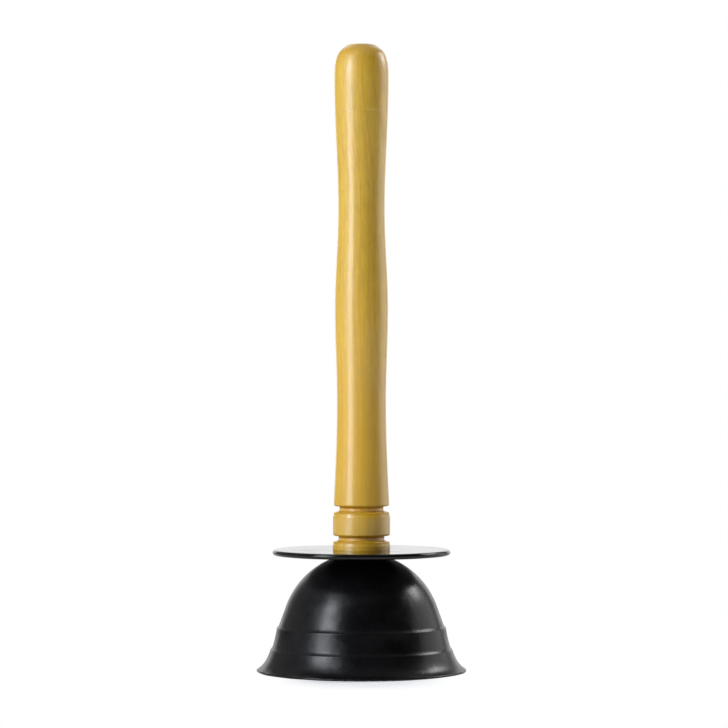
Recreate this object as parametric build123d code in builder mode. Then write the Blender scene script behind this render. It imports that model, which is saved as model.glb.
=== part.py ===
from build123d import *
import math
import os

# A short household plunger, standing on the lip of its rubber cup.
# Millimetres. The origin is the centre of the lip circle on the floor, and +Z runs up the handle.
# Every piece is turned or moulded round the Z axis, so each outline is a half section in the
# XZ plane, drawn as (radius, height). All wall slopes are in degrees off vertical.

# ---------------------------------------------------------------- driving sizes

# Stack along the axis, from the floor up
cup_height = 55.7               # floor to the flat crown that carries the guard plate
crown_thickness = 7.7           # solid rubber that the screw clamps
plate_thickness = 2.6
handle_length = 241.3           # turned length, 9 1/2 in

# Rubber cup, outside
lip_radius = 50.0               # a 4 in cup
rim_round = 0.6                 # radius of the rounded rim of the lip
land_width = 2.0                # flat ring of the lip that rests on the floor
rim_slope = 60.0
flare_slope = 18.0
band_foot_slope = 17.0
band_top_slope = 8.0
skirt_slope = 19.5
flare_top = (43.5, 10.5)        # the flare ends under the lower moulded step
band_top = (40.45, 20.75)       # the band ends under the upper moulded step
step_round = 1.0                # radius of the rounded nose of each step
step_slope = 82.0               # how far the nose turns over towards the wall above
step_crease = 4.0               # radius of the hollow where the nose runs into the wall above
dome_radius = 38.35
dome_centre = 18.35             # height of the centre of the dome's sphere
crown_radius = 14.0             # raised flat seat on top of the dome
crown_round = 0.8

# Rubber cup, inside
wall = 4.2                      # at the dome and the skirt
inner_skirt_foot = 21.0         # height where the inner skirt starts to flare
inner_rim_slope = 44.0
inner_lip_round = 0.4
seat_round = 0.8
cup_hole = 5.6

# Clamp washer, a plain washer for M6 with an outside diameter of 30 mm
washer_diameter = 30.0
washer_hole = 6.4
washer_thickness = 1.5
washer_edge = 0.2

# Wood screw, No. 12 by 1 1/2 in, with a slotted round head
screw_length = 38.0             # under the head to the tip
shank_diameter = 5.5
shank_length = 14.0             # plain part under the head
thread_root = 3.9
thread_pitch = 2.3
thread_crest = 0.3              # width of the flat on the crest
thread_base = 1.3               # width of the thread where it meets the core
thread_sink = 0.2               # how far the foot of the thread is sunk into the core
thread_turns = 8                # full turns along the parallel core
point_turns = 1.5               # turns that run down onto the point
point_length = 5.0
head_diameter = 10.5
head_height = 4.0
slot_width = 1.4
slot_depth = 1.9

# Guard plate
plate_diameter = 85.0
plate_hole = 6.0

# Handle, turned from 28 mm (1 1/8 in) dowel: flange, groove, collar, groove, grip.
# A groove has a square ledge above its floor, and a flank that slopes out below it.
flange_radius = 13.8
flange_shoulder = 60.3               # height where the flange starts to taper in
flange_top = (13.35, 62.2)
flange_round = 0.4
lower_groove_radius = 10.95
lower_groove_floor = (62.85, 64.95)  # heights between which the floor of the groove runs
collar_radius = 13.65
collar_shoulder = 73.9               # height where the collar starts to taper in
collar_top = (13.15, 76.15)
collar_round = 0.5
upper_groove_radius = 10.5
upper_groove_floor = (76.95, 79.05)
arris_round = 0.9                    # lower edges of the collar and the grip
grip_foot = (13.27, 79.05)           # stations along the grip
grip_foot_slope = -0.05              # radius lost for each millimetre up from the foot
lower_waist = (11.76, 130.0)
belly = (12.76, 173.0)
upper_waist = (11.12, 221.0)
bulb = (13.02, 283.0)
shoulder = (12.3, 291.9)             # stations round the end
corner = (10.4, 296.2)
chamfer_top = (7.7, 298.5)
end_flat = 4.6                       # radius of the flat left on the end
ring_height = 267.2                  # soft scribed ring under the bulb
ring_depth = 0.08
ring_half_width = 0.7
shank_bore = 5.6
shank_bore_depth = 3.0
pilot_depth = 27.5

# Heights that follow from the stack
seat_height = cup_height - crown_thickness
washer_bottom = seat_height - washer_thickness
plate_top = cup_height + plate_thickness
handle_top = plate_top + handle_length


def up_the_wall(slope):
    """Direction that climbs an inward-leaning wall."""
    return (-math.sin(math.radians(slope)), math.cos(math.radians(slope)))


def down_the_wall(slope):
    """Direction that falls along an inward-leaning wall."""
    return (math.sin(math.radians(slope)), -math.cos(math.radians(slope)))


def angle_at_radius(radius, sphere_radius):
    """Degrees above the equator at which a sphere has narrowed to this radius."""
    return math.degrees(math.acos(radius / sphere_radius))


# ---------------------------------------------------------------- rubber cup
# Outside, from the floor up: rounded rim, concave flare, step, concave band, step, straight
# skirt, dome and raised crown. Inside, from the top down: seat, dome, skirt and flare.

dome_point = (0, dome_centre)
inner_dome = dome_radius - wall
seat_radius = math.sqrt(inner_dome**2 - (seat_height - dome_centre) ** 2)
land_inner = lip_radius - rim_round - land_width
crown_end = angle_at_radius(crown_radius, dome_radius)
seat_end = angle_at_radius(seat_radius, inner_dome)

with BuildPart() as rubber_cup:
    with BuildSketch(Plane.XZ) as cup_section:
        with BuildLine():
            rim = CenterArc((lip_radius - rim_round, rim_round), rim_round, -90, 90 + rim_slope)
            Spline(
                rim @ 1,
                flare_top,
                tangents=[up_the_wall(rim_slope), up_the_wall(flare_slope)],
            )
            lower_step = JernArc(
                flare_top, up_the_wall(flare_slope), step_round, step_slope - flare_slope
            )
            Spline(
                lower_step @ 1,
                band_top,
                tangents=[up_the_wall(band_foot_slope), up_the_wall(band_top_slope)],
            )
            upper_step = JernArc(
                band_top, up_the_wall(band_top_slope), step_round, step_slope - band_top_slope
            )
            dome = CenterArc(dome_point, dome_radius, skirt_slope, crown_end - skirt_slope)
            Line(upper_step @ 1, dome @ 0)
            Polyline(
                dome @ 1,
                (crown_radius, cup_height),
                (cup_hole / 2, cup_height),
                (cup_hole / 2, seat_height),
                (seat_radius, seat_height),
            )
            hollow = CenterArc(dome_point, inner_dome, skirt_slope, seat_end - skirt_slope)
            inner_skirt = PolarLine(
                hollow @ 0,
                ((hollow @ 0).Y - inner_skirt_foot) / math.cos(math.radians(skirt_slope)),
                direction=down_the_wall(skirt_slope),
            )
            Spline(
                inner_skirt @ 1,
                (land_inner, 0),
                tangents=[down_the_wall(skirt_slope), down_the_wall(inner_rim_slope)],
            )
            Line((land_inner, 0), rim @ 0)
        make_face()
        for vertex, rounding in (
            (dome @ 1, crown_round),
            ((crown_radius, cup_height), crown_round),
            (lower_step @ 1, step_crease),
            (upper_step @ 1, step_crease),
            ((seat_radius, seat_height), seat_round),
            ((land_inner, 0), inner_lip_round),
        ):
            fillet(cup_section.vertices().sort_by_distance(vertex)[0], rounding)
    revolve(axis=Axis.Z)

# ---------------------------------------------------------------- clamp washer
# Sits inside the cup against the underside of the crown.

with BuildPart() as clamp_washer:
    with BuildSketch(Plane.XY.offset(washer_bottom)):
        Circle(washer_diameter / 2)
        Circle(washer_hole / 2, mode=Mode.SUBTRACT)
    extrude(amount=washer_thickness)
    chamfer(clamp_washer.edges().filter_by(GeomType.CIRCLE), washer_edge)

# ---------------------------------------------------------------- wood screw
# Driven from inside the cup, through washer, crown and plate, into the end of the handle.

head_radius = head_diameter / 2
shank_radius = shank_diameter / 2
root_radius = thread_root / 2
tip_height = washer_bottom + screw_length
shank_end = washer_bottom + shank_length
point_start = tip_height - point_length
thread_bottom = point_start - thread_turns * thread_pitch
point_angle = math.degrees(math.atan(root_radius / point_length))


def thread_tooth(height):
    """Corners of the thread's section where it crosses the XZ plane at this height."""
    sunk_radius = root_radius - thread_sink
    return (
        (sunk_radius, height - thread_base / 2),
        (shank_radius, height - thread_crest / 2),
        (shank_radius, height + thread_crest / 2),
        (sunk_radius, height + thread_base / 2),
    )


with BuildPart() as wood_screw:
    with BuildSketch(Plane.XZ):
        with BuildLine():
            Polyline(
                (0, washer_bottom - head_height),
                (0, tip_height),
                (root_radius, point_start),
                (root_radius, shank_end + shank_radius - root_radius),
                (shank_radius, shank_end),
                (shank_radius, washer_bottom),
                (head_radius, washer_bottom),
            )
            EllipticalCenterArc(
                (0, washer_bottom), head_radius, head_height, start_angle=-90, arc_size=90
            )
        make_face()
    revolve(axis=Axis.Z)
    with BuildSketch(Plane.XY.offset(washer_bottom - head_height)):
        Rectangle(head_diameter, slot_width)
    extrude(amount=slot_depth, mode=Mode.SUBTRACT)

    # Thread along the parallel core, then the turns that run down onto the point
    for start, turns, cone_angle in (
        (thread_bottom, thread_turns, 0),
        (point_start, point_turns, -point_angle),
    ):
        with BuildLine() as thread_path:
            Helix(
                thread_pitch,
                turns * thread_pitch,
                root_radius,
                center=(0, 0, start),
                cone_angle=cone_angle,
            )
        with BuildSketch(Plane.XZ):
            with BuildLine():
                Polyline(*thread_tooth(start), close=True)
            make_face()
        sweep(path=thread_path.line, is_frenet=True)

# ---------------------------------------------------------------- guard plate
# A flat disc with a fully rounded rim, between the crown of the cup and the handle.

rim_radius = plate_thickness / 2

with BuildPart() as guard_plate:
    with BuildSketch(Plane.XZ):
        with BuildLine():
            plate_rim = CenterArc(
                (plate_diameter / 2 - rim_radius, cup_height + rim_radius), rim_radius, -90, 180
            )
            Polyline(
                plate_rim @ 1,
                (plate_hole / 2, plate_top),
                (plate_hole / 2, cup_height),
                plate_rim @ 0,
            )
        make_face()
    revolve(axis=Axis.Z)

# ---------------------------------------------------------------- handle
# One turned stick: flange on the plate, groove, collar, groove, waisted grip, rounded end.
# Its foot is bored for the screw, with a drill point at the end of the pilot hole.

pilot_radius = thread_root / 2
pilot_end = plate_top + pilot_depth
shank_bore_end = plate_top + shank_bore_depth
upright = (0, 1)

with BuildPart() as handle:
    with BuildSketch(Plane.XZ) as handle_section:
        with BuildLine():
            Polyline(
                (0, pilot_end + pilot_radius),
                (pilot_radius, pilot_end),
                (pilot_radius, shank_bore_end),
                (shank_bore / 2, shank_bore_end),
                (shank_bore / 2, plate_top),
                (flange_radius, plate_top),
                (flange_radius, flange_shoulder),
                flange_top,
                (lower_groove_radius, lower_groove_floor[0]),
                (lower_groove_radius, lower_groove_floor[1]),
                (collar_radius, lower_groove_floor[1]),
                (collar_radius, collar_shoulder),
                collar_top,
                (upper_groove_radius, upper_groove_floor[0]),
                (upper_groove_radius, upper_groove_floor[1]),
                grip_foot,
            )
            grip = Spline(
                grip_foot,
                lower_waist,
                belly,
                upper_waist,
                bulb,
                tangents=[(grip_foot_slope, 1), upright, upright, upright, upright],
            )
            ring_level = IntersectingLine((0, ring_height), (1, 0), grip, mode=Mode.PRIVATE)
            rounded_end = Spline(
                bulb,
                shoulder,
                corner,
                chamfer_top,
                (end_flat, handle_top),
                tangents=[upright, (-1, 0)],
            )
            Polyline(rounded_end @ 1, (0, handle_top), (0, pilot_end + pilot_radius))
        make_face()
        for vertex, rounding in (
            (flange_top, flange_round),
            ((collar_radius, lower_groove_floor[1]), arris_round),
            (collar_top, collar_round),
            (grip_foot, arris_round),
        ):
            fillet(handle_section.vertices().sort_by_distance(vertex)[0], rounding)
    revolve(axis=Axis.Z)
    with BuildSketch(Plane.XZ):
        with Locations(ring_level @ 1):
            Polygon(
                (-ring_depth, 0),
                (ring_depth, -2 * ring_half_width),
                (ring_depth, 2 * ring_half_width),
                align=None,
            )
    revolve(axis=Axis.Z, mode=Mode.SUBTRACT)

# ---------------------------------------------------------------- write the pieces

pieces = {
    "rubber_cup": rubber_cup,
    "clamp_washer": clamp_washer,
    "wood_screw": wood_screw,
    "guard_plate": guard_plate,
    "handle": handle,
}

os.makedirs("parts", exist_ok=True)
for label, piece in pieces.items():
    piece.part.label = label
    export_step(piece.part, f"parts/{label}.step")
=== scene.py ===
import math
import random

import bmesh
import bpy
import numpy as np
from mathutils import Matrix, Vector


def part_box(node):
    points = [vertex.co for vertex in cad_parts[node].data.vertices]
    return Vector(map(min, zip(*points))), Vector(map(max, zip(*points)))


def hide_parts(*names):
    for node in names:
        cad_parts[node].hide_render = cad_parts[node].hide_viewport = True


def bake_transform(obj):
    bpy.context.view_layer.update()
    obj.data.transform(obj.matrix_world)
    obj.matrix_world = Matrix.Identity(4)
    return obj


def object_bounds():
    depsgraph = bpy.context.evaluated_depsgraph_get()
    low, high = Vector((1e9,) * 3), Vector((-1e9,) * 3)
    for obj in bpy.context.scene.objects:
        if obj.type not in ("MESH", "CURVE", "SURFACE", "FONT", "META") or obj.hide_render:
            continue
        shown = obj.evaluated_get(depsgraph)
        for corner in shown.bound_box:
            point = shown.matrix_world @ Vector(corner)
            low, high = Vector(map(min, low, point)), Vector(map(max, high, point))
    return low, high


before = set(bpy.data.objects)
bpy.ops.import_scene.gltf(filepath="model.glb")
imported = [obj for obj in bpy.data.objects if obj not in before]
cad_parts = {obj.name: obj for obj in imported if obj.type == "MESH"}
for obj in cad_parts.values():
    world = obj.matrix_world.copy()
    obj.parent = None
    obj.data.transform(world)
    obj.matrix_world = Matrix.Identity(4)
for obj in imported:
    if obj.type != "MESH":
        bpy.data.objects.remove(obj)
cad_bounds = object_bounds()

# A short plunger: lacquered wooden handle, glossy guard plate and satin rubber cup, on a pale floor.
# Everything is in metres in the CAD frame: Z up the handle, the floor at Z = 0.

MM = 0.001

object_height = cad_bounds[1].z
cup_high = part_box("rubber_cup")[1]
handle_low, handle_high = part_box("handle")


# ---------------------------------------------------------------- shader helper


class Shader:
    """The node tree of a material or a world."""

    def __init__(self, owner):
        owner.use_nodes = True
        self.owner = owner
        self.tree = owner.node_tree
        self.tree.nodes.clear()

    def add(self, kind, inputs=None, **settings):
        """Adds a node. inputs has a value or another node's output for each named or numbered input."""
        node = self.tree.nodes.new("ShaderNode" + kind)
        for key, value in settings.items():
            setattr(node, key, value)
        for key, value in (inputs or {}).items():
            if isinstance(value, bpy.types.NodeSocket):
                self.tree.links.new(value, node.inputs[key])
            else:
                node.inputs[key].default_value = value
        return node

    def math(self, operation, a, b=0.0, c=0.0):
        return self.add("Math", {0: a, 1: b, 2: c}, operation=operation).outputs[0]

    def vector(self, operation, a, b=(0, 0, 0)):
        return self.add("VectorMath", {0: a, 1: b}, operation=operation).outputs[0]

    def length(self, vector):
        return self.add("VectorMath", {0: vector}, operation="LENGTH").outputs["Value"]

    def split(self, vector):
        """The X, Y and Z of a vector."""
        return self.add("SeparateXYZ", {0: vector}).outputs

    def join(self, x=0.0, y=0.0, z=0.0):
        return self.add("CombineXYZ", {0: x, 1: y, 2: z}).outputs[0]

    def remap(self, value, low, high, out_low=0.0, out_high=1.0):
        """value goes smoothly from out_low at low to out_high at high."""
        inputs = {"Value": value, 1: low, 2: high, 3: out_low, 4: out_high}
        return self.add("MapRange", inputs, interpolation_type="SMOOTHSTEP").outputs[0]

    def noise(self, place, detail=2.0, roughness=0.5, output="Fac"):
        """Soft noise from 0 to 1 with one feature for each unit of place."""
        inputs = {"Vector": place, "Scale": 1.0, "Detail": detail, "Roughness": roughness}
        return self.add("TexNoise", inputs).outputs[output]

    def mix(self, factor, a, b):
        """Colour a where factor is 0, and colour b where it is 1."""
        factor_input, a_input, b_input, colour_output = 0, 6, 7, 2
        inputs = {factor_input: factor, a_input: a, b_input: b}
        return self.add("Mix", inputs, data_type="RGBA").outputs[colour_output]

    def mix_shaders(self, factor, a, b):
        return self.add("MixShader", {0: factor, 1: a.outputs[0], 2: b.outputs[0]})

    def bump(self, height, distance, normal=None):
        """Surface normal from a height map, where height 1 stands distance metres proud."""
        inputs = {"Height": height, "Distance": distance, "Strength": 1.0}
        if normal is not None:
            inputs["Normal"] = normal
        return self.add("Bump", inputs).outputs[0]

    def millimetres(self, per_mm=(1, 1, 1)):
        """Position on the resting object in millimetres, times a scale for each axis."""
        place = self.add("TexCoord").outputs["Object"]
        return self.vector("MULTIPLY", place, [k / MM for k in per_mm])

    def seen_by_camera(self):
        """1 for what the camera sees itself, 0 for light and reflections."""
        return self.add("LightPath").outputs["Is Camera Ray"]

    def principled(self, **inputs):
        """Ends a material with one Principled surface, and returns the material."""
        named = {key.replace("_", " "): value for key, value in inputs.items()}
        surface = self.add("BsdfPrincipled", named)
        self.add("OutputMaterial", {"Surface": surface.outputs[0]})
        return self.owner


def rgb(red, green, blue):
    """Linear colour from the 0 to 255 values a screen shows."""

    def linear(value):
        share = value / 255
        return ((share + 0.055) / 1.055) ** 2.4 if share > 0.04045 else share / 12.92

    return (linear(red), linear(green), linear(blue), 1.0)


def grey(level):
    return (level, level, level, 1.0)


# ---------------------------------------------------------------- wood

EARLY_WOOD = rgb(241, 196, 60)
LATE_WOOD = rgb(222, 166, 38)
GREENISH_BLOTCH = rgb(216, 181, 54)
BROWN_FIGURE = rgb(198, 146, 38)
FIBRE = rgb(160, 112, 28)
PORE = rgb(132, 86, 22)
FOOT_TONE = rgb(228, 174, 32)
# colour of the painted shade under the ledges of the grooves
PAINTED_LEDGE_SHADE = rgb(140, 84, 8)
END_GRAIN_AND_TOP_SHADE = rgb(190, 138, 16)

PITH = (-31, 26, 0)                 # mm from the handle's axis to the heart of the tree
PITH_LEAN = 0.035                   # how far the heart leans for each millimetre up
RINGS_PER_MM = 0.42
RING_WANDER = (9, 9, 0)             # mm by which the rings wander across the stick
FOOT_TONE_SPAN = (0.214, 0.629)     # shares of the handle's length over which the foot's tone fades
END_GRAIN_AND_SHADE_SPAN = (0.935, 0.989)     # shares over which the rounded end turns into end grain, darkened partly as painted shade on the top
LEDGE_REACH = 1.3 * MM              # how far the painted shade reaches under a ledge


def growth_rings(s):
    """1 in the dark late wood of each growth ring, which ends in a sharp edge, and 0 in the early wood."""
    wander = s.noise(s.millimetres((0.03, 0.03, 0.006)), output="Color")
    sway = s.vector("MULTIPLY", s.vector("SUBTRACT", wander, (0.5, 0.5, 0.5)), RING_WANDER)
    x, y, z = s.split(s.vector("ADD", s.millimetres(), sway))
    leaned = s.join(s.math("MULTIPLY_ADD", z, PITH_LEAN, x), y)
    from_pith = s.length(s.vector("SUBTRACT", leaned, PITH))
    uneven = s.noise(s.join(s.math("MULTIPLY", from_pith, 0.33)), detail=1.0)
    even = s.math("MULTIPLY", from_pith, RINGS_PER_MM)
    ring = s.math("FRACT", s.math("MULTIPLY_ADD", uneven, 2.0, even))
    return s.math("MULTIPLY", s.remap(ring, 0.35, 0.9), s.remap(ring, 1.0, 0.93))


def shade_under_ledges(s):
    """Mask for painted shade: 1 close under a ledge that faces down, 0 away from it."""
    upward = s.join(z=1.0)
    sky = s.add("AmbientOcclusion", {"Distance": LEDGE_REACH, "Normal": upward}, samples=16, only_local=True)
    return s.remap(sky.outputs["AO"], 0.55, 0.95, 1.0, 0.0)


def lacquered_wood():
    """Light turned wood, honey yellow under a clear gloss lacquer, with grain along the stick."""
    s = Shader(bpy.data.materials.new("honey_wood"))
    fibre = s.noise(s.millimetres((2.2, 2.2, 0.045)), detail=5.0, roughness=0.6)
    pores = s.remap(s.noise(s.millimetres((4.5, 4.5, 0.16)), detail=1.0), 0.66, 0.74)
    blotch = s.noise(s.millimetres((0.07, 0.07, 0.025)), detail=3.0)
    figure = s.noise(s.millimetres((0.35, 0.35, 0.16)), detail=2.0, roughness=0.6)
    up_from_foot = s.math("SUBTRACT", s.split(s.millimetres())[2], handle_low.z / MM)
    station = s.math("DIVIDE", up_from_foot, (handle_high.z - handle_low.z) / MM)
    end_grain_and_top_shade = s.remap(station, *END_GRAIN_AND_SHADE_SPAN)
    ledge_shade = shade_under_ledges(s)

    colour = s.mix(s.math("MULTIPLY", growth_rings(s), 0.45), EARLY_WOOD, LATE_WOOD)
    colour = s.mix(s.remap(blotch, 0.35, 0.7, 0.0, 0.4), colour, GREENISH_BLOTCH)
    colour = s.mix(s.remap(figure, 0.35, 0.65, 0.2, 0.0), colour, BROWN_FIGURE)
    colour = s.mix(s.remap(fibre, 0.3, 0.7, 0.24, 0.0), colour, FIBRE)
    colour = s.mix(s.math("MULTIPLY", pores, 0.35), colour, PORE)
    colour = s.mix(s.remap(station, *FOOT_TONE_SPAN, 0.5, 0.0), colour, FOOT_TONE)
    # painted shade under each ledge of the grooves, darkest close under it
    colour = s.mix(s.math("MULTIPLY", ledge_shade, 0.58), colour, PAINTED_LEDGE_SHADE)
    # rounded top darker: partly the wood's own end grain, partly painted shade where less light falls from
    # above
    colour = s.mix(s.math("MULTIPLY", end_grain_and_top_shade, 0.3), colour, END_GRAIN_AND_TOP_SHADE)

    grain = s.bump(s.math("SUBTRACT", fibre, pores), 0.012 * MM)
    lacquer = s.bump(s.noise(s.millimetres((0.55, 0.55, 0.18)), detail=3.0), 0.06 * MM)
    lacquer = s.bump(s.noise(s.millimetres((0.12, 0.12, 0.07)), detail=2.0), 0.12 * MM, lacquer)
    return s.principled(
        Base_Color=colour,
        Roughness=0.45,
        Specular_IOR_Level=s.math("MULTIPLY_ADD", ledge_shade, -0.9, 0.9),
        Normal=grain,
        Coat_Weight=s.math("MULTIPLY_ADD", ledge_shade, -0.7, 0.8),
        Coat_Roughness=s.math("MULTIPLY_ADD", end_grain_and_top_shade, 0.14, 0.16),
        Coat_IOR=1.5,
        Coat_Normal=lacquer,
    )


# ---------------------------------------------------------------- plastic, rubber and steel

WARM_SHEEN = (1.0, 0.97, 0.94, 1.0)


def glossy_plastic():
    """Black polished plastic with fine wiping scratches and a little dust haze."""
    s = Shader(bpy.data.materials.new("black_gloss"))
    haze = s.noise(s.millimetres((0.06, 0.06, 0.06)), detail=4.0)
    scratches = s.remap(s.noise(s.millimetres((0.25, 3.5, 0.25)), detail=3.0), 0.62, 0.7)
    roughness = s.math("MULTIPLY_ADD", scratches, 0.05, s.remap(haze, 0.3, 0.75, 0.07, 0.16))
    return s.principled(
        Base_Color=s.mix(s.remap(haze, 0.4, 0.8), rgb(12, 12, 13), rgb(20, 20, 21)),
        Roughness=roughness,
        Normal=s.bump(s.noise(s.millimetres((0.05, 0.05, 0.05)), detail=1.0), 0.02 * MM),
        IOR=1.5,
        Specular_Tint=WARM_SHEEN,
    )


def satin_rubber():
    """Black moulded rubber: satin, with faint rings left by the mould's turning and a dusty bloom."""
    s = Shader(bpy.data.materials.new("satin_rubber"))
    place = s.add("Attribute", attribute_name="rest_mm").outputs["Vector"]
    along = s.add("Attribute", attribute_name="along_mm").outputs["Fac"]
    rings = s.noise(s.join(s.math("MULTIPLY", along, 1.6)), detail=3.0, roughness=0.7)
    skin = s.noise(s.vector("MULTIPLY", place, (1.5, 1.5, 1.5)), detail=3.0, roughness=0.6)
    dents = s.noise(s.vector("MULTIPLY", place, (0.09, 0.09, 0.05)), detail=2.0)
    bloom = s.noise(s.vector("MULTIPLY", place, (0.06, 0.06, 0.09)), detail=4.0, roughness=0.6)
    normal = s.bump(rings, 0.02 * MM)
    normal = s.bump(skin, 0.008 * MM, normal)
    normal = s.bump(dents, 0.25 * MM, normal)
    return s.principled(
        Base_Color=s.mix(s.remap(bloom, 0.35, 0.75), rgb(10, 10, 11), rgb(17, 17, 18)),
        Roughness=s.math("MULTIPLY_ADD", rings, 0.05, s.remap(bloom, 0.3, 0.7, 0.21, 0.30)),
        Normal=normal,
        IOR=1.5,
    )


def zinc_plate():
    """Bright zinc on steel: brushed by handling, with a faint yellow and blue cast."""
    s = Shader(bpy.data.materials.new("zinc_plate"))
    cast = s.noise(s.millimetres((0.25, 0.25, 0.25)), detail=3.0)
    brush = s.noise(s.millimetres((0.6, 9.0, 2.0)), detail=3.0)
    return s.principled(
        Base_Color=s.mix(s.remap(cast, 0.35, 0.65), rgb(206, 210, 216), rgb(214, 208, 190)),
        Metallic=1.0,
        Roughness=s.remap(brush, 0.3, 0.7, 0.22, 0.42),
        Normal=s.bump(brush, 0.01 * MM),
    )


# ---------------------------------------------------------------- rubber cup

SEGMENTS = 288                  # steps round the cup
OUTLINE_STEP = 0.7 * MM
CORNER_TURN = 25                # degrees of turn that make a corner of the outline
SHARP_EDGE = 35                 # degrees between faces that show as an edge
SAME_POINT = 1e-4 * MM
SEED = 11

TRIMMED_EDGE = 0.6 * MM         # outermost ring of the lip, where the flash was cut off

# Where the rubber's unevenness starts and ends, as shares of the cup's height
LIP_RIPPLE_END = 0.25
FREE_WALL_FULL = 0.2
FREE_WALL_END = 0.85
FREE_WALL_FADE = 0.3


def half_section(node):
    """Outline of a turned CAD node where it crosses the XZ plane at X > 0: (radius, height) in order."""
    cut = bmesh.new()
    cut.from_mesh(node.data)
    bmesh.ops.remove_doubles(cut, verts=cut.verts, dist=SAME_POINT)
    crossed = bmesh.ops.bisect_plane(
        cut,
        geom=cut.verts[:] + cut.edges[:] + cut.faces[:],
        dist=SAME_POINT,
        plane_co=(0, 0, 0),
        plane_no=(0, 1, 0),
    )
    neighbours = {}
    for edge in crossed["geom_cut"]:
        if isinstance(edge, bmesh.types.BMEdge) and all(v.co.x > 0 for v in edge.verts):
            first, second = edge.verts
            neighbours.setdefault(first, []).append(second)
            neighbours.setdefault(second, []).append(first)
    start = min(neighbours, key=lambda v: (round(v.co.z, 6), -v.co.x))
    outline, previous, here = [], None, start
    while here is not start or not outline:
        outline.append((here.co.x, here.co.z))
        onward = [v for v in neighbours[here] if v is not previous]
        previous, here = here, onward[0]
    cut.free()
    return np.array(outline)


def smooth_closed(points, spacing, corner_turn):
    """Resamples a closed outline by Catmull-Rom curves, which stop and start again at its corners."""
    count = len(points)
    step = np.roll(points, -1, axis=0) - points
    heading = np.arctan2(step[:, 1], step[:, 0])
    turn = np.abs((heading - np.roll(heading, 1) + np.pi) % (2 * np.pi) - np.pi)
    corner = turn > math.radians(corner_turn)
    smooth = []
    for i in range(count):
        a, b = points[i], points[(i + 1) % count]
        before = a + (a - b) if corner[i] else points[i - 1]
        after = b + (b - a) if corner[(i + 1) % count] else points[(i + 2) % count]
        length = np.linalg.norm(b - a)
        in_slope = (b - before) / (np.linalg.norm(a - before) + length) * length
        out_slope = (after - a) / (np.linalg.norm(after - b) + length) * length
        for t in np.linspace(0, 1, max(1, round(length / spacing)), endpoint=False):
            smooth.append(
                (2 * t**3 - 3 * t**2 + 1) * a
                + (t**3 - 2 * t**2 + t) * in_slope
                + (3 * t**2 - 2 * t**3) * b
                + (t**3 - t**2) * out_slope
            )
    return np.array(smooth)


def turned_mesh(name, outline):
    """Closed mesh from a closed outline turned about Z. Returns the object."""
    angles = np.linspace(0, 2 * np.pi, SEGMENTS, endpoint=False)
    radius, height = outline[:, :1], outline[:, 1:]
    rings = [radius * np.cos(angles), radius * np.sin(angles), height + 0 * angles]
    points = np.stack(rings, axis=2).reshape(-1, 3)
    faces = []
    for row in range(len(outline)):
        low, high = row * SEGMENTS, (row + 1) % len(outline) * SEGMENTS
        for k in range(SEGMENTS):
            onward = (k + 1) % SEGMENTS
            faces.append((low + k, low + onward, high + onward, high + k))
    mesh = bpy.data.meshes.new(name)
    mesh.from_pydata(points.tolist(), [], faces)
    mesh.validate()
    piece = bpy.data.objects.new(name, mesh)
    bpy.context.scene.collection.objects.link(piece)
    return piece


def save_rest_texture_space(mesh, outline):
    """Keeps each point's resting place, and its distance along the outline, for the rubber's texture."""
    resting = np.array([v.co for v in mesh.vertices]) / MM
    mesh.attributes.new("rest_mm", "FLOAT_VECTOR", "POINT").data.foreach_set("vector", resting.ravel())
    step = np.linalg.norm(np.diff(outline, axis=0), axis=1) / MM
    along = np.repeat(np.concatenate([[0], np.cumsum(step)]), SEGMENTS)
    mesh.attributes.new("along_mm", "FLOAT", "POINT").data.foreach_set("value", along)


def waves(angles, draws, counts, size):
    """Sum of sine waves round the circle with random phases, at most size high."""
    total = sum(np.sin(n * angles + draws.uniform(0, 2 * math.pi)) / n**0.5 for n in counts)
    return size * total / sum(1 / n**0.5 for n in counts)


def relax_from_true(mesh):
    """Rubber is never quite true: its lip ripples, its edge wanders and its dome is a little uneven."""
    draws = random.Random(SEED)
    points = np.array([v.co for v in mesh.vertices])
    angles = np.arctan2(points[:, 1], points[:, 0])
    height = points[:, 2] / cup_high.z
    radius = np.hypot(points[:, 0], points[:, 1])
    near_lip = np.clip(1 - height / LIP_RIPPLE_END, 0, 1) ** 2
    at_edge = np.clip((radius - cup_high.x) / TRIMMED_EDGE + 1, 0, 1)
    free_wall = np.clip(height / FREE_WALL_FULL, 0, 1)
    free_wall *= np.clip((FREE_WALL_END - height) / FREE_WALL_FADE, 0, 1)
    outward = waves(angles, draws, (2, 3, 5), 0.25 * MM) * near_lip
    outward += waves(angles, draws, (17, 29, 43, 61), 0.10 * MM) * at_edge
    outward += waves(angles, draws, (2, 3, 4), 0.15 * MM) * free_wall
    lift = np.abs(waves(angles, draws, (3, 5, 7), 0.25 * MM)) * near_lip
    points[:, 0] += outward * np.cos(angles)
    points[:, 1] += outward * np.sin(angles)
    points[:, 2] += lift
    mesh.vertices.foreach_set("co", points.ravel())


def rubber_cup():
    """The cup as a fine turned mesh, from its lip to the crown that the washer clamps."""
    outline = smooth_closed(half_section(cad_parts["rubber_cup"]), OUTLINE_STEP, CORNER_TURN)
    piece = turned_mesh("cup_of_rubber", outline)
    save_rest_texture_space(piece.data, outline)
    relax_from_true(piece.data)
    piece.data.shade_smooth()
    piece.data.set_sharp_from_angle(angle=math.radians(SHARP_EDGE))
    piece.data.materials.append(satin_rubber())
    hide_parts("rubber_cup")
    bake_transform(piece)


# ---------------------------------------------------------------- floor and backdrop

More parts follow.
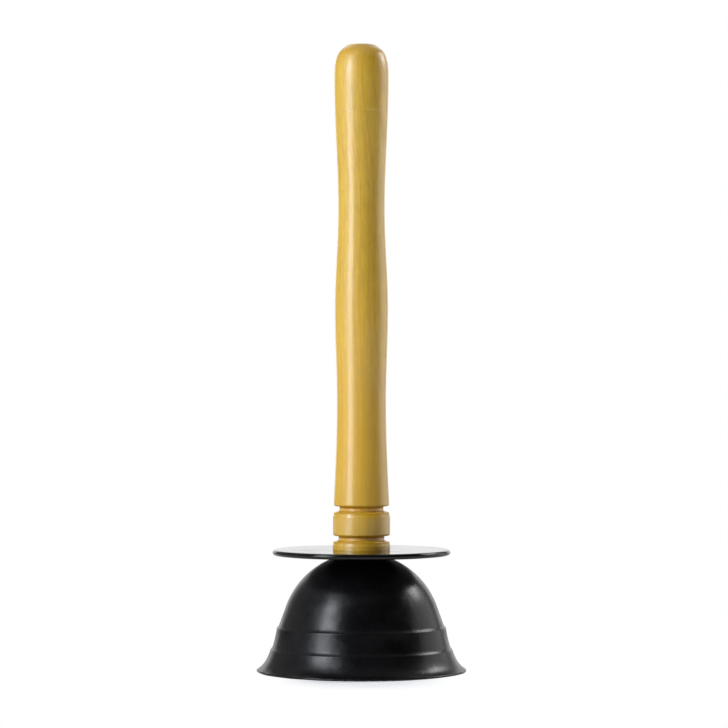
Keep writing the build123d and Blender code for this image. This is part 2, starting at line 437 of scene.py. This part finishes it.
PAPER_WHITE = 0.9
FLOOR_EXPOSURE = 1.3            # how much brighter the camera sees the paper than the object does
FLOOR_GLOW = 0.6                # light that the far floor gives, where the camera sees plain white
FLOOR_FADE = (0.012, 0.045)     # distances from the front of the lip over which the paper fades out
SHADE_OFFSET = 2 * MM           # the soft shade sits this far to the right of the middle
FLOOR_SIZE = 8.0                # metres
BACKDROP_LIGHT = 1.15
BACKDROP_EDGE = (0.78, 0.92)    # Y of the directions over which the backdrop brightens
BACKDROP_TOP = (0.6, 0.95)      # Z of the directions over which it gives way to the ceiling
CEILING_LIGHT = 0.09
DARK_STUDIO = 0.008


def pale_floor():
    """Matt white paper near the object, which fades into the plain white of the studio."""
    s = Shader(bpy.data.materials.new("pale_floor"))
    seen = s.seen_by_camera()
    tooth = s.noise(s.millimetres((0.8, 0.8, 0.8)), detail=3.0)
    paper_inputs = {
        "Base Color": s.mix(seen, grey(PAPER_WHITE), grey(PAPER_WHITE * FLOOR_EXPOSURE)),
        "Roughness": 0.7,
        "Normal": s.bump(tooth, 0.02 * MM),
    }
    paper = s.add("BsdfPrincipled", paper_inputs)
    studio = s.add("Emission", {"Color": grey(1.0), "Strength": s.remap(seen, 0, 1, FLOOR_GLOW, 1.0)})
    place = s.add("TexCoord").outputs["Object"]
    away = s.length(s.vector("SUBTRACT", place, (SHADE_OFFSET, -cup_high.x, 0)))
    surface = s.mix_shaders(s.remap(away, *FLOOR_FADE), paper, studio)
    s.add("OutputMaterial", {"Surface": surface.outputs[0]})
    return s.owner


def floor():
    half = FLOOR_SIZE / 2
    corners = [(-half, -half, 0), (half, -half, 0), (half, half, 0), (-half, half, 0)]
    mesh = bpy.data.meshes.new("floor")
    mesh.from_pydata(corners, [], [(0, 1, 2, 3)])
    mesh.materials.append(pale_floor())
    piece = bpy.data.objects.new("floor", mesh)
    bpy.context.scene.collection.objects.link(piece)


def studio_world():
    """White for the camera. For light and reflections: a white backdrop behind the object, dark in front."""
    world = bpy.data.worlds.new("studio")
    bpy.context.scene.world = world
    s = Shader(world)
    y, z = s.split(s.add("TexCoord").outputs["Generated"])[1:]
    ceiling_start, ceiling_full = BACKDROP_TOP
    below_ceiling = s.remap(z, ceiling_full, ceiling_start)
    backdrop = s.math("MULTIPLY", s.remap(y, *BACKDROP_EDGE), below_ceiling)
    level = s.math("MULTIPLY_ADD", backdrop, BACKDROP_LIGHT - DARK_STUDIO, DARK_STUDIO)
    level = s.math("ADD", level, s.remap(z, ceiling_start, ceiling_full, 0.0, CEILING_LIGHT))
    lit = s.add("Background", {"Color": level})
    plain = s.add("Background", {"Color": grey(1.0)})
    surface = s.mix_shaders(s.seen_by_camera(), lit, plain)
    s.add("OutputWorld", {"Surface": surface.outputs[0]})


# ---------------------------------------------------------------- lights
# Directions are azimuth in degrees from the camera towards the object's right, and elevation.

COOL_LIGHT = (0.95, 1.0, 1.08)
COOL_FILL = (0.93, 1.0, 1.25)
LIGHT_TARGET = Vector((0, 0, 0.4 * object_height))


def direction(azimuth, elevation):
    turn, rise = math.radians(azimuth), math.radians(elevation)
    return Vector((math.sin(turn) * math.cos(rise), -math.cos(turn) * math.cos(rise), math.sin(rise)))


def softbox(name, at, size, radiance, colour=(1, 1, 1), glossy=True):
    """Rectangular light that faces the object. at is its azimuth, elevation and distance."""
    azimuth, elevation, distance = at
    width, height = size
    light = bpy.data.lights.new(name, "AREA")
    light.shape = "RECTANGLE"
    light.size, light.size_y = width, height
    light.energy = radiance * math.pi * width * height
    light.color = colour
    lamp = bpy.data.objects.new(name, light)
    lamp.location = LIGHT_TARGET + distance * direction(azimuth, elevation)
    lamp.rotation_euler = (LIGHT_TARGET - lamp.location).to_track_quat("-Z", "Y").to_euler()
    lamp.visible_camera = False
    lamp.visible_glossy = glossy
    bpy.context.scene.collection.objects.link(lamp)


def studio_lights():
    """A tall cool window on the left, a wide one on the right, and fills that leave no reflection."""
    softbox("left_softbox", (-52, 16, 1.0), (0.42, 0.95), 3.8, COOL_LIGHT)
    softbox("left_hot_spot", (-53, 23, 0.95), (0.17, 0.16), 8.0, COOL_LIGHT)
    softbox("left_canopy", (-58, 49, 0.95), (0.42, 0.36), 0.9, COOL_LIGHT)
    softbox("left_fill", (-66, 8, 1.2), (0.8, 1.0), 3.1, COOL_FILL, glossy=False)
    softbox("left_wall", (-112, 26, 1.1), (1.15, 1.0), 0.2)
    softbox("right_softbox", (113, 14, 1.1), (0.95, 0.95), 0.9)
    softbox("right_hot_spot", (118, 33, 0.95), (0.3, 0.32), 5.6)
    softbox("right_fill", (120, 14, 1.2), (0.8, 0.9), 1.5, glossy=False)
    softbox("back_top", (180, 48, 1.3), (1.0, 0.6), 1.1)
    softbox("overhead", (0, 85, 1.4), (1.2, 1.2), 1.1, glossy=False)


# ---------------------------------------------------------------- camera

EYE_HEIGHT = 0.4903 * object_height
EYE_DISTANCE = 1.55                     # metres
EYE_OFFSET = 1.2 * MM
FRAME_WIDTH = 1.161 * object_height     # width of the picture at the handle's axis
SENSOR_MM = 36.0


def camera():
    """A level view from the front, from about half the object's height."""
    lens = bpy.data.cameras.new("camera")
    lens.sensor_width = SENSOR_MM
    lens.lens = SENSOR_MM * EYE_DISTANCE / FRAME_WIDTH
    lens.clip_end = 50
    eye = bpy.data.objects.new("camera", lens)
    eye.location = (EYE_OFFSET, -EYE_DISTANCE, EYE_HEIGHT)
    eye.rotation_euler = (math.radians(90), 0, 0)
    bpy.context.scene.collection.objects.link(eye)
    bpy.context.scene.camera = eye


# ---------------------------------------------------------------- put it together


def dress(nodes, material):
    """Gives CAD nodes a new material in their one slot."""
    for node in nodes:
        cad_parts[node].material_slots[0].material = material


dress(["handle"], lacquered_wood())
dress(["guard_plate"], glossy_plastic())
dress(["clamp_washer", "wood_screw"], zinc_plate())
rubber_cup()

floor()
studio_world()
studio_lights()
camera()
bpy.context.scene.view_settings.view_transform = "Standard"
